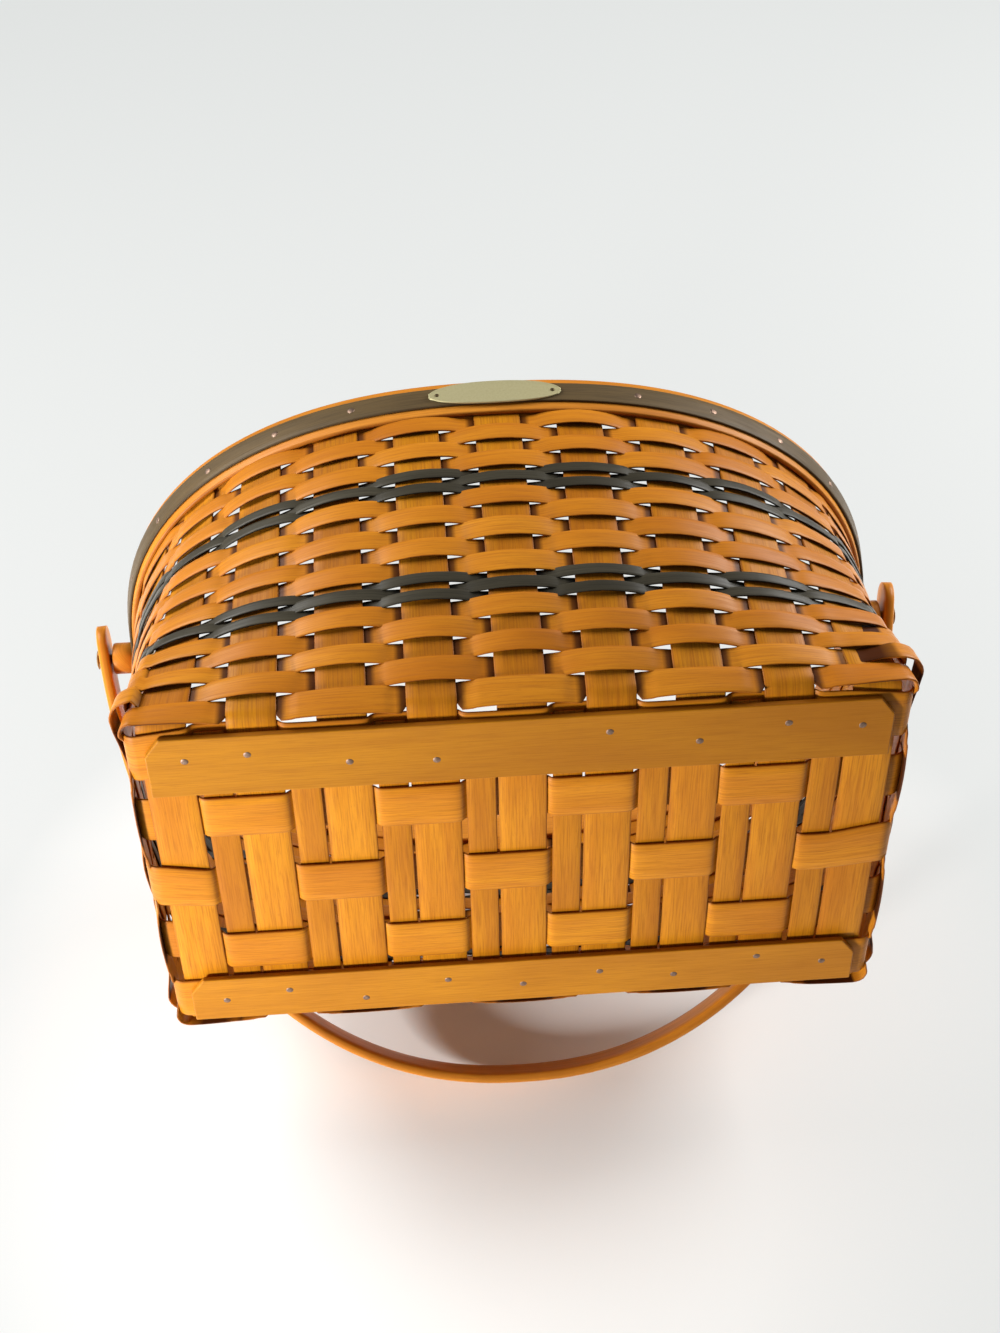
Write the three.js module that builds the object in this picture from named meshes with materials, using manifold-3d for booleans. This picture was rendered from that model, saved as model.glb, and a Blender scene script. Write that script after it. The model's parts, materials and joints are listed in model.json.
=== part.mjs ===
import * as THREE from "three";
import { mergeVertices } from "three/addons/utils/BufferGeometryUtils.js";
import Module from "manifold-3d";

// Splint basket with a swing handle. Millimetres, +Z up, standing on the undersides of the two
// base strips at z = 0, length along X, the name plate on the -Y side.

// Driving dimensions of the splint stock.
const CROSS_COUNT = 9;
const LONG_COUNT = 5;
const UNIT_PITCH = 40;
const CROSS_WIDTH = 22.5;
const LONG_PITCH = 42.5;
const LONG_WIDTH = 27;
const SPLINT_THICK = 1.1;
const FILLER_THICK = 1;
const STRIP_WIDTH = 33;
const STRIP_THICK = 3;
const STRIP_CLIP_ALONG = 7;
const STRIP_CLIP_ACROSS = 10;

// Driving dimensions of the woven wall, rows listed from the foot up: n natural, d dark and narrow.
const ROW_PATTERN = "nnnnndddnnnnndddnnnn";
const WALL_HEIGHT = 151.6;
const DARK_SHARE = 0.49;
const ROW_GAP = 0.35;
const WEAVER_THICK = 1;
const CORNER = 6.5;
const SIDE_FLARE = 46.5;
const END_FLARE = 15;
const WALL_BOW = 0.79;
const RIM_ROUNDNESS = 2.36;
const RIM_LEAN = 0.15;

// Driving dimensions of the rim, the plate and the handle.
const BAND_HEIGHT = 22;
const BAND_THICK = 2.5;
const TRIM_HEIGHT = 12.5;
const TRIM_THICK = 1.2;
const PLATE_LENGTH = 64;
const PLATE_HEIGHT = 15;
const PLATE_THICK = 0.8;
const PLATE_FULLNESS = 2.4;
const PLATE_TIP = 2.8;
const PLATE_PIN = 2.2;
const PLATE_PIN_HEAD = 4.2;
const PLATE_PIN_DOME = 1;
const PLATE_PIN_INSET = 4;
const SPACER_DIAMETER = 17;
const SPACER_THICK = 8.5;
const RIVET_DIAMETER = 5;
const RIVET_HEAD = 11;
const RIVET_DOME = 1.2;
const RIVET_FLAT = 1.4;
const HANDLE_WIDTH = 22;
const HANDLE_THICK = 5;
const HANDLE_DROOP = 39;
const HANDLE_REACH = 244.4;
const HANDLE_END = 18;
const HANDLE_WAIST = 60;
const HANDLE_ROUNDNESS = 2.2;

// Clearances between neighbouring pieces.
const GAP = 0.35;
const WEAVE_GAP = 0.85;
const CROSS_OVER = 2;
const WEAVE_PAST = 1.2;
const BEND = 3;
const HANDLE_PLAY = 1.3;

// Largest turn of a flat length of an upright, in degrees, the fewest lengths in a bowed upright, and
// how much shorter they are at the foot, and the lengths in the handle and plate.
const TWIST_STEP = 5;
const BOW_STEPS = 5;
const FOOT_CROWDING = 0.35;
const ARCH_STEPS = 28;
const PLATE_STEPS = 10;

const wasm = await Module();
wasm.setup();

// Materials.
const wood = (color, roughness) => new THREE.MeshStandardMaterial({ color, roughness, metalness: 0 });
const HONEY = wood("#c98a3c", 0.5);
const AMBER = wood("#b9772c", 0.5);
const DARK_STAIN = wood("#46443a", 0.5);
const TRIM_STAIN = wood("#5f5644", 0.55);
const HANDLE_WOOD = wood("#c58a4a", 0.45);
const PLATE_METAL = new THREE.MeshStandardMaterial({ color: "#cdc7a0", roughness: 0.4, metalness: 0.8 });
const RIVET_METAL = new THREE.MeshStandardMaterial({ color: "#b08d57", roughness: 0.4, metalness: 0.9 });

const basket = new THREE.Group();
basket.name = "splint_basket";

function addNode(name, geometry, material) {
  const mesh = new THREE.Mesh(geometry, material);
  mesh.name = name;
  basket.add(mesh);
}

// A strip is a run of four-cornered sections. Corner order: outer a, outer b, inner b, inner a.
// A closed strip joins its last section to its first; an open one gets two end faces. The fold says
// which diagonal the broad faces turn about, so that strips that cross stay parallel on a twisted wall.
function stripGeometry(sections, closed, fold = 0) {
  const points = sections.flat();
  const faces = [];
  const quad = (a, b, c, d) => faces.push(a, b, c, a, c, d);
  const last = closed ? sections.length : sections.length - 1;
  for (let i = 0; i < last; i++) {
    const p = 4 * i;
    const q = 4 * ((i + 1) % sections.length);
    for (let e = 0; e < 4; e++) {
      const f = (e + 1) % 4;
      if (e === fold) quad(p + f, q + f, q + e, p + e);
      else quad(p + e, p + f, q + f, q + e);
    }
  }
  if (!closed) {
    const end = points.length - 4;
    quad(3, 2, 1, 0);
    quad(end, end + 1, end + 2, end + 3);
  }
  const geometry = new THREE.BufferGeometry();
  geometry.setAttribute("position", new THREE.Float32BufferAttribute(points.flat(), 3));
  geometry.setIndex(faces);
  if (volumeOf(geometry) < 0) {
    const index = geometry.index.array;
    for (let i = 0; i < index.length; i += 3) {
      const kept = index[i + 1];
      index[i + 1] = index[i + 2];
      index[i + 2] = kept;
    }
  }
  return geometry;
}

function volumeOf(geometry) {
  const p = geometry.attributes.position;
  const index = geometry.index.array;
  const [a, b, c] = [new THREE.Vector3(), new THREE.Vector3(), new THREE.Vector3()];
  let sum = 0;
  for (let i = 0; i < index.length; i += 3) {
    a.fromBufferAttribute(p, index[i]);
    b.fromBufferAttribute(p, index[i + 1]);
    c.fromBufferAttribute(p, index[i + 2]);
    sum += a.dot(b.cross(c)) / 6;
  }
  return sum;
}

// Solid cuts.
function solidOf(geometry) {
  const bare = new THREE.BufferGeometry();
  const flat = geometry.index ? geometry.toNonIndexed() : geometry;
  bare.setAttribute("position", flat.getAttribute("position"));
  const merged = mergeVertices(bare, 1e-4);
  const mesh = new wasm.Mesh({
    numProp: 3,
    vertProperties: merged.attributes.position.array,
    triVerts: new Uint32Array(merged.index.array),
  });
  return new wasm.Manifold(mesh);
}

function geometryOf(solid) {
  const mesh = solid.getMesh();
  const geometry = new THREE.BufferGeometry();
  geometry.setAttribute("position", new THREE.BufferAttribute(mesh.vertProperties, 3));
  geometry.setIndex(new THREE.BufferAttribute(mesh.triVerts, 1));
  return geometry;
}

// A round along X from x0 to x1 about the handle's pivot line.
function pivotRound(radius, x0, x1, sides) {
  const round = new THREE.CylinderGeometry(radius, radius, Math.abs(x1 - x0), sides);
  round.rotateZ(-Math.PI / 2);
  round.translate((x0 + x1) / 2, 0, PIVOT_Z);
  return round;
}

const bored = (geometry, bore) => geometryOf(solidOf(geometry).subtract(solidOf(bore)));

// Levels. The cross splints lie flat in the base; the long splints pass over and under them.
const WEAVE_STEP = SPLINT_THICK + GAP;
const BASE_Z = STRIP_THICK + GAP + WEAVE_STEP + SPLINT_THICK / 2;
const FOOT_Z = BASE_Z + BEND + ROW_GAP;
const BAND_Z = FOOT_Z + WALL_HEIGHT;
const RIM_Z = BAND_Z + BAND_HEIGHT;
const PIVOT_Z = BAND_Z + BAND_HEIGHT / 2;

// The wall bows out: how far it has come from the foot towards the rim, and how fast, at height z.
const riseAt = (z) => Math.min(1, (z - BASE_Z) / (BAND_Z - BASE_Z));
const bowAt = (z) => riseAt(z) * (1 + WALL_BOW * (1 - riseAt(z)));
const bowSlope = (z) => (1 + WALL_BOW * (1 - 2 * riseAt(z))) / (BAND_Z - BASE_Z);

// Rows share the length of the bowed wall, measured up the middle of a long side.
const rowShare = (kind) => (kind === "d" ? DARK_SHARE : 1);
const allShares = [...ROW_PATTERN].reduce((sum, kind) => sum + rowShare(kind), 0);
const PROFILE_STEPS = 400;
const profileZ = [FOOT_Z];
const profileLength = [0];
for (let n = 1; n <= PROFILE_STEPS; n++) {
  const z = FOOT_Z + (WALL_HEIGHT * n) / PROFILE_STEPS;
  const out = SIDE_FLARE * (bowAt(z) - bowAt(profileZ[n - 1]));
  profileLength.push(profileLength[n - 1] + Math.hypot(z - profileZ[n - 1], out));
  profileZ.push(z);
}
const rowFoot = [FOOT_Z];
let shares = 0;
for (const kind of ROW_PATTERN) {
  shares += rowShare(kind);
  const length = (profileLength[PROFILE_STEPS] * shares) / allShares;
  const n = profileLength.findIndex((l) => l >= length - 1e-6);
  rowFoot.push(profileZ[n]);
}

// Plan of the wall at the foot and at the rim.
const crossX = (k) => (k - (CROSS_COUNT - 1) / 2) * UNIT_PITCH;
const longY = (j) => (j - (LONG_COUNT - 1) / 2) * LONG_PITCH;
const FOOT_X = crossX(CROSS_COUNT - 1) + CROSS_WIDTH / 2 + CORNER;
const FOOT_Y = longY(LONG_COUNT - 1) + LONG_WIDTH / 2 + CORNER;
const RIM_X = FOOT_X + END_FLARE;
const RIM_Y = FOOT_Y + SIDE_FLARE;

// The oval at the foot of the rim bands by arc length, from the middle of the -Y side towards +X.
const ovalPoints = [];
const ovalLength = [0];
const OVAL_STEPS = 1440;
for (let i = 0; i <= OVAL_STEPS; i++) {
  const a = (2 * Math.PI * i) / OVAL_STEPS;
  const s = Math.sin(a);
  const c = Math.cos(a);
  const power = 2 / RIM_ROUNDNESS;
  ovalPoints.push([
    RIM_X * Math.sign(s) * Math.abs(s) ** power,
    -RIM_Y * Math.sign(c) * Math.abs(c) ** power,
  ]);
  if (i > 0) {
    const [p, q] = [ovalPoints[i - 1], ovalPoints[i]];
    ovalLength.push(ovalLength[i - 1] + Math.hypot(q[0] - p[0], q[1] - p[1]));
  }
}
const OVAL = ovalLength[OVAL_STEPS];

function ovalAt(length) {
  const l = ((length % OVAL) + OVAL) % OVAL;
  let low = 0;
  let high = OVAL_STEPS;
  while (high - low > 1) {
    const middle = (low + high) >> 1;
    if (ovalLength[middle] <= l) low = middle;
    else high = middle;
  }
  const t = (l - ovalLength[low]) / (ovalLength[high] - ovalLength[low]);
  const [p, q] = [ovalPoints[low], ovalPoints[high]];
  return [p[0] + t * (q[0] - p[0]), p[1] + t * (q[1] - p[1])];
}

// Uprights in order round the wall, counter-clockwise from above: the -Y side from -X to +X, the +X
// end, the +Y side, the -X end. Each holds its two edges at the foot and at the rim.
const UPRIGHTS = 2 * (CROSS_COUNT + LONG_COUNT);
const uprights = [];
for (let i = 0; i < UPRIGHTS; i++) {
  const half = CROSS_COUNT + LONG_COUNT;
  const turn = i < half ? 1 : -1;
  const n = i % half;
  const onSide = n < CROSS_COUNT;
  const width = onSide ? CROSS_WIDTH : LONG_WIDTH;
  const centre = onSide ? [crossX(n), -FOOT_Y] : [FOOT_X, longY(n - CROSS_COUNT)];
  const along = onSide ? [1, 0] : [0, 1];
  const foot = [-1, 1].map((e) => centre.map((v, axis) => turn * (v + (e * along[axis] * width) / 2)));
  const arc = ((i - (CROSS_COUNT - 1) / 2) * OVAL) / UPRIGHTS;
  const rim = [-1, 1].map((e) => ovalAt(arc + (e * width) / 2));
  uprights.push({ foot, rim, width });
}

// Edges and outward normal of an upright at height z. Below the rim the splint turns gradually from
// the foot to the oval; between the rim bands it only leans. The stretch keeps distances square to
// the leaning wall.
function uprightAt(i, z) {
  const { foot, rim } = uprights[i];
  const t = bowAt(z);
  const edges = [0, 1].map((e) => foot[e].map((v, axis) => v + t * (rim[e][axis] - v)));
  const dx = edges[1][0] - edges[0][0];
  const dy = edges[1][1] - edges[0][1];
  const length = Math.hypot(dx, dy);
  const along = [dx / length, dy / length];
  const normal = [along[1], -along[0]];
  const middle = [0, 1].map((axis) => (rim[0][axis] + rim[1][axis] - foot[0][axis] - foot[1][axis]) / 2);
  const lean = (middle[0] * normal[0] + middle[1] * normal[1]) * bowSlope(z);
  const above = Math.max(0, z - BAND_Z) * RIM_LEAN;
  for (const edge of edges) {
    edge[0] += above * normal[0];
    edge[1] += above * normal[1];
  }
  return { edges, along, normal, stretch: Math.hypot(1, z < BAND_Z ? lean : RIM_LEAN) };
}

// A point beside an upright: edge 0 or 1, pushed past the edge, moved out from the splint's middle.
function beside(i, z, edge, past, out) {
  const { edges, along, normal, stretch } = uprightAt(i, z);
  const push = edge === 0 ? -past : past;
  return [
    edges[edge][0] + push * along[0] + out * stretch * normal[0],
    edges[edge][1] + push * along[1] + out * stretch * normal[1],
    z,
  ];
}

// How many flat lengths an upright needs below the rim so that its bow and its twist stay gentle.
function uprightSteps(i) {
  const a = uprightAt(i, BASE_Z).normal;
  const b = uprightAt(i, BAND_Z).normal;
  const twist = Math.acos(Math.min(1, a[0] * b[0] + a[1] * b[1]));
  return Math.max(BOW_STEPS, Math.ceil(THREE.MathUtils.radToDeg(twist) / TWIST_STEP));
}

// Sections of a splint up one wall, from the bend at the foot to the rim. The last length lies
// between the rim bands.
function wallSections(i, flip) {
  const steps = uprightSteps(i);
  const foot = BASE_Z + BEND;
  const heights = [];
  for (let s = 0; s <= steps; s++) {
    const part = (s / steps) * (1 - FOOT_CROWDING * (1 - s / steps));
    heights.push(foot + (BAND_Z - foot) * part);
  }
  heights.push(RIM_Z - GAP);
  const [first, second] = flip ? [1, 0] : [0, 1];
  const h = SPLINT_THICK / 2;
  return heights.map((z) => [
    beside(i, z, first, 0, h),
    beside(i, z, second, 0, h),
    beside(i, z, second, 0, -h),
    beside(i, z, first, 0, -h),
  ]);
}

// Sections of a splint lying in the base. The axis is the one it runs along: 0 for X, 1 for Y.
function flatSection(axis, at, centre, width, z) {
  const h = SPLINT_THICK / 2;
  const first = axis === 1 ? -1 : 1;
  const corner = (side, level) => {
    const p = [0, 0, z + level];
    p[axis] = at;
    p[1 - axis] = centre + (side * width) / 2;
    return p;
  };
  return [corner(first, -h), corner(-first, -h), corner(-first, h), corner(first, h)];
}

// The turned corner between the base and the wall: a chamfer whose section leans half way.
function bendSection(axis, side, reach, centre, width, z) {
  const h = (SPLINT_THICK / 2) * Math.SQRT1_2;
  const first = axis === 1 ? -1 : 1;
  const rise = (BASE_Z + BEND - z) * 0.3;
  const corner = (across, level) => {
    const p = [0, 0, z + rise - level];
    p[axis] = side * (reach - rise + level);
    p[1 - axis] = centre + (across * width) / 2;
    return p;
  };
  return [corner(first, h), corner(-first, h), corner(-first, -h), corner(first, -h)];
}

// One splint from rim to rim through the base.
function splintSections(axis, lowWall, highWall, reach, centre, width, levels) {
  const low = levels[0].z;
  const high = levels.at(-1).z;
  return [
    ...wallSections(lowWall, false).reverse(),
    bendSection(axis, -1, reach, centre, width, low),
    flatSection(axis, -(reach - BEND), centre, width, low),
    ...levels.slice(1, -1).map(({ at, z }) => flatSection(axis, at, centre, width, z)),
    flatSection(axis, reach - BEND, centre, width, high),
    bendSection(axis, 1, reach, centre, width, high),
    ...wallSections(highWall, true),
  ];
}

// Cross splints, numbered from the -X end.
const HALF_ROUND = CROSS_COUNT + LONG_COUNT;
for (let k = 0; k < CROSS_COUNT; k++) {
  const far = HALF_ROUND + CROSS_COUNT - 1 - k;
  const levels = [{ z: BASE_Z }, { z: BASE_Z }];
  const sections = splintSections(1, k, far, FOOT_Y, crossX(k), CROSS_WIDTH, levels);
  addNode("cross_splint_" + (k + 1), stripGeometry(sections, false, 2), HONEY);
}

// Base fillers, each beside the cross splint on its +X side.
const FILLER_WIDTH = UNIT_PITCH - CROSS_WIDTH - CROSS_OVER - GAP;
const FILLER_END = FOOT_Y - CORNER - 2 * GAP;
for (let k = 1; k < CROSS_COUNT; k++) {
  const middle = crossX(k) - CROSS_WIDTH / 2 - GAP - FILLER_WIDTH / 2;
  const board = new THREE.BoxGeometry(FILLER_WIDTH, 2 * FILLER_END, FILLER_THICK);
  board.translate(middle, 0, BASE_Z);
  addNode("base_filler_" + k, board, AMBER);
}

// Long splints, numbered from the -Y side. Each goes under the first unit it shares parity with,
// then over the next, stepping through the open slot between two units.
for (let j = 0; j < LONG_COUNT; j++) {
  const level = (k) => BASE_Z + ((j + k) % 2 === 0 ? -WEAVE_STEP : WEAVE_STEP);
  const levels = [{ z: level(0) }];
  for (let k = 0; k + 1 < CROSS_COUNT; k++) {
    const slot = crossX(k) + CROSS_WIDTH / 2;
    levels.push({ at: slot + CROSS_OVER * 0.12, z: level(k) });
    levels.push({ at: slot + CROSS_OVER * 0.88, z: level(k + 1) });
  }
  levels.push({ z: level(CROSS_COUNT - 1) });
  const right = CROSS_COUNT + j;
  const left = UPRIGHTS - 1 - j;
  const sections = splintSections(0, left, right, FOOT_X, longY(j), LONG_WIDTH, levels);
  addNode("long_splint_" + (j + 1), stripGeometry(sections, false, 2), HONEY);
}

// Weavers. Each row is a band that goes round once, outside every second upright and inside the
// others, and laps its own start behind one upright of the far side.
const WEAVE_OUT = SPLINT_THICK / 2 + WEAVE_GAP + WEAVER_THICK / 2;
[...ROW_PATTERN].forEach((kind, row) => {
  const low = rowFoot[row];
  const high = rowFoot[row + 1] - ROW_GAP;
  const start = HALF_ROUND + 1 + ((row * 2) % 6) + (row % 2);
  const inside = (i) => (i + row) % 2 !== 0;
  const first = inside(start) ? start : start + 1;
  const sections = [];
  for (let n = 0; n <= UPRIGHTS; n++) {
    const i = (first + n) % UPRIGHTS;
    const lap = n === UPRIGHTS ? WEAVER_THICK + GAP : 0;
    const out = inside(i) ? -WEAVE_OUT - lap : WEAVE_OUT;
    for (const edge of [0, 1]) {
      const h = WEAVER_THICK / 2;
      const past = n === 0 && edge === 0 ? -WEAVE_PAST : WEAVE_PAST;
      sections.push([
        beside(i, low, edge, past, out + h),
        beside(i, high, edge, past, out + h),
        beside(i, high, edge, past, out - h),
        beside(i, low, edge, past, out - h),
      ]);
    }
  }
  const name = (kind === "d" ? "dark_weaver_" : "weaver_") + String(row + 1).padStart(2, "0");
  addNode(name, stripGeometry(sections, false), kind === "d" ? DARK_STAIN : AMBER);
});

// A hoop round the wall between two heights and two distances from the middle of the uprights.
function hoop(low, high, near, far) {
  const sections = [];
  for (let i = 0; i < UPRIGHTS; i++) {
    for (const edge of [0, 1]) {
      sections.push([
        beside(i, low, edge, 0, far),
        beside(i, high, edge, 0, far),
        beside(i, high, edge, 0, near),
        beside(i, low, edge, 0, near),
      ]);
    }
  }
  return stripGeometry(sections, true);
}

// Rim: inner band, outer band and the dark trim, all bored for the two handle rivets.
const BAND_NEAR = SPLINT_THICK / 2 + GAP;
const BAND_FAR = BAND_NEAR + BAND_THICK;
const TRIM_NEAR = BAND_FAR + GAP;
const TRIM_FAR = TRIM_NEAR + TRIM_THICK;
const TRIM_LOW = PIVOT_Z - TRIM_HEIGHT / 2;
const TRIM_HIGH = PIVOT_Z + TRIM_HEIGHT / 2;
const PIN_BORE = RIVET_DIAMETER / 2 + GAP;
const throughBore = pivotRound(PIN_BORE, -2 * RIM_X, 2 * RIM_X, 8);
addNode("rim_inner_band", bored(hoop(BAND_Z, RIM_Z, -BAND_FAR, -BAND_NEAR), throughBore), HANDLE_WOOD);
addNode("rim_outer_band", bored(hoop(BAND_Z, RIM_Z, BAND_NEAR, BAND_FAR), throughBore), HANDLE_WOOD);
addNode("rim_trim", bored(hoop(TRIM_LOW, TRIM_HIGH, TRIM_NEAR, TRIM_FAR), throughBore), TRIM_STAIN);

// The rivets pass through the middle splint of each short end, so that splint is bored as well.
const middleLong = basket.getObjectByName("long_splint_" + (LONG_COUNT + 1) / 2);
middleLong.geometry = bored(middleLong.geometry, throughBore);

// Base strips, each with the two corners of its -Y edge clipped.
const STRIP_HALF = FOOT_X - CORNER - BEND;
const STRIP_EDGE = FOOT_Y - CORNER;
for (const side of [-1, 1]) {
  const near = side < 0 ? -STRIP_EDGE : STRIP_EDGE - STRIP_WIDTH;
  const clip = STRIP_HALF - STRIP_CLIP_ALONG;
  const outline = new THREE.Shape();
  outline.moveTo(-clip, near);
  outline.lineTo(clip, near);
  outline.lineTo(STRIP_HALF, near + STRIP_CLIP_ACROSS);
  outline.lineTo(STRIP_HALF, near + STRIP_WIDTH);
  outline.lineTo(-STRIP_HALF, near + STRIP_WIDTH);
  outline.lineTo(-STRIP_HALF, near + STRIP_CLIP_ACROSS);
  outline.closePath();
  const board = new THREE.ExtrudeGeometry(outline, { depth: STRIP_THICK, bevelEnabled: false });
  addNode(side < 0 ? "base_strip_front" : "base_strip_back", board, HONEY);
}

// Name plate: a bare oval, pointed at both ends, bent to the trim it lies on, with two pin holes.
const frontMiddle = (CROSS_COUNT - 1) / 2;
function trimPath(z, out) {
  const points = [];
  for (const i of [frontMiddle - 2, frontMiddle - 1, frontMiddle, frontMiddle + 1, frontMiddle + 2]) {
    for (const edge of [0, 1]) points.push(beside(i, z, edge, 0, out));
  }
  return points;
}
function trimPointAt(x, z, out) {
  const points = trimPath(z, out);
  let n = 0;
  while (n < points.length - 2 && points[n + 1][0] < x) n++;
  const [p, q] = [points[n], points[n + 1]];
  const t = (x - p[0]) / (q[0] - p[0]);
  return [x, p[1] + t * (q[1] - p[1]), z];
}
const plateXs = [];
for (let n = 0; n <= PLATE_STEPS; n++) plateXs.push((PLATE_LENGTH / 2) * (-1 + (2 * n) / PLATE_STEPS));
for (const [x] of trimPath(PIVOT_Z, TRIM_FAR)) {
  const close = plateXs.some((v) => Math.abs(v - x) < 0.6);
  if (Math.abs(x) < PLATE_LENGTH / 2 && !close) plateXs.push(x);
}
plateXs.sort((a, b) => a - b);
const plateSections = plateXs.map((x) => {
  const u = Math.min(1, Math.abs((2 * x) / PLATE_LENGTH));
  const half = Math.max(PLATE_TIP, PLATE_HEIGHT * Math.sqrt(1 - u ** PLATE_FULLNESS)) / 2;
  const near = TRIM_FAR + 2 * GAP;
  const far = near + PLATE_THICK;
  return [
    trimPointAt(x, PIVOT_Z - half, far),
    trimPointAt(x, PIVOT_Z + half, far),
    trimPointAt(x, PIVOT_Z + half, near),
    trimPointAt(x, PIVOT_Z - half, near),
  ];
});
const PIN_SHANK = PLATE_THICK + 3 * GAP;
let plate = stripGeometry(plateSections, false);
for (const side of [-1, 1]) {
  const x = side * (PLATE_LENGTH / 2 - PLATE_PIN_INSET);
  const y = trimPointAt(x, PIVOT_Z, TRIM_FAR)[1];
  const holeRadius = PLATE_PIN / 2 + GAP;
  const hole = new THREE.CylinderGeometry(holeRadius, holeRadius, 8 * (PLATE_THICK + GAP), 8);
  hole.translate(x, y - PLATE_THICK / 2, PIVOT_Z);
  plate = bored(plate, hole);
  const profile = [
    [0, 0],
    [PLATE_PIN / 2, 0],
    [PLATE_PIN / 2, PIN_SHANK],
    [PLATE_PIN_HEAD / 2, PIN_SHANK],
    [PLATE_PIN_HEAD / 3, PIN_SHANK + 0.8 * PLATE_PIN_DOME],
    [0, PIN_SHANK + PLATE_PIN_DOME],
  ].map(([r, h]) => new THREE.Vector2(r, h));
  const pin = new THREE.LatheGeometry(profile, 8);
  pin.rotateX(Math.PI);
  const lean = Math.abs(trimPointAt(x, TRIM_HIGH, TRIM_FAR)[1] - trimPointAt(x, TRIM_LOW, TRIM_FAR)[1]);
  pin.translate(x, y - GAP - (PLATE_PIN * lean) / TRIM_HEIGHT / 2, PIVOT_Z);
  addNode(side < 0 ? "plate_pin_left" : "plate_pin_right", geometryOf(solidOf(pin)), RIVET_METAL);
}
addNode("name_plate", plate, PLATE_METAL);

// Handle: a flat strip bent to part of an oval, hanging on the +Y side at the droop angle below level.
// Distances h run from the pivot line out to the crown; the oval is widest at the waist beyond the
// pivot line, so the legs lean in towards the crown.
const droop = THREE.MathUtils.degToRad(HANDLE_DROOP);
const trimFace = (z) => beside(CROSS_COUNT + (LONG_COUNT - 1) / 2, z, 0, 0, TRIM_FAR)[0];
const SEAT_X = trimFace(PIVOT_Z + SPACER_DIAMETER / 2) + GAP;
const HANDLE_MID = SEAT_X + SPACER_THICK + GAP + HANDLE_PLAY + HANDLE_THICK / 2;
const HANDLE_OUT = HANDLE_MID + HANDLE_THICK / 2;
const ovalHeight = HANDLE_REACH - HANDLE_THICK / 2 + HANDLE_WAIST;
const ovalPart = (h) => ((h + HANDLE_WAIST) / ovalHeight) ** HANDLE_ROUNDNESS;
const narrowing = (h) => (1 - ovalPart(h)) ** (1 / HANDLE_ROUNDNESS);
const handleX = (h) => (HANDLE_MID * narrowing(h)) / narrowing(0);
const leg = [1, 0.88, 0.62, 0.3].map((part) => ({
  h: HANDLE_WIDTH / 2 - HANDLE_END - (part * HANDLE_WIDTH) / 2,
  half: (HANDLE_WIDTH / 2) * Math.sqrt(Math.max(0.06, 1 - part ** 2)),
}));
const shoulder = Math.asin(Math.sqrt(ovalPart(HANDLE_WIDTH / 2 - HANDLE_END)));
for (let n = 0; n < ARCH_STEPS / 2; n++) {
  const a = shoulder + ((Math.PI / 2 - shoulder) * 2 * n) / ARCH_STEPS;
  const h = ovalHeight * Math.sin(a) ** (2 / HANDLE_ROUNDNESS) - HANDLE_WAIST;
  leg.push({ h, half: HANDLE_WIDTH / 2 });
}
const handlePath = [
  ...leg.map(({ h, half }) => ({ x: -handleX(h), h, half })),
  { x: 0, h: ovalHeight - HANDLE_WAIST, half: HANDLE_WIDTH / 2 },
  ...leg.reverse().map(({ h, half }) => ({ x: handleX(h), h, half })),
];
handlePath.forEach((p, n) => {
  const before = handlePath[Math.max(0, n - 1)];
  const after = handlePath[Math.min(n + 1, handlePath.length - 1)];
  const length = Math.hypot(after.x - before.x, after.h - before.h);
  p.tangent = [(after.x - before.x) / length, (after.h - before.h) / length];
});
const fromHandle = (x, h, across) => [
  x,
  h * Math.cos(droop) + across * Math.sin(droop),
  PIVOT_Z - h * Math.sin(droop) + across * Math.cos(droop),
];
const handleSections = handlePath.map(({ x, h, tangent, half }) => {
  const t = HANDLE_THICK / 2;
  const out = [-tangent[1], tangent[0]];
  return [
    fromHandle(x + t * out[0], h + t * out[1], -half),
    fromHandle(x + t * out[0], h + t * out[1], half),
    fromHandle(x - t * out[0], h - t * out[1], half),
    fromHandle(x - t * out[0], h - t * out[1], -half),
  ];
});
addNode("handle", bored(stripGeometry(handleSections, false), throughBore), HANDLE_WOOD);

// Spacers: turned discs, their inner faces cut to the lean of the trim they sit on.
const spacerCut = stripGeometry(
  [-1, 1].map((side) => {
    const y = side * SPACER_DIAMETER;
    const low = PIVOT_Z - SPACER_DIAMETER;
    const high = PIVOT_Z + SPACER_DIAMETER;
    return [
      [trimFace(low) + GAP, y, low],
      [trimFace(high) + GAP, y, high],
      [RIM_X / 2, y, high],
      [RIM_X / 2, y, low],
    ];
  }),
  false,
);
for (const side of [-1, 1]) {
  const round = pivotRound(SPACER_DIAMETER / 2, trimFace(TRIM_LOW) - BAND_THICK, SEAT_X + SPACER_THICK, 16);
  const disc = geometryOf(solidOf(round).subtract(solidOf(spacerCut)).subtract(solidOf(throughBore)));
  if (side < 0) disc.rotateZ(Math.PI);
  addNode(side < 0 ? "handle_spacer_left" : "handle_spacer_right", disc, HANDLE_WOOD);
}

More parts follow.
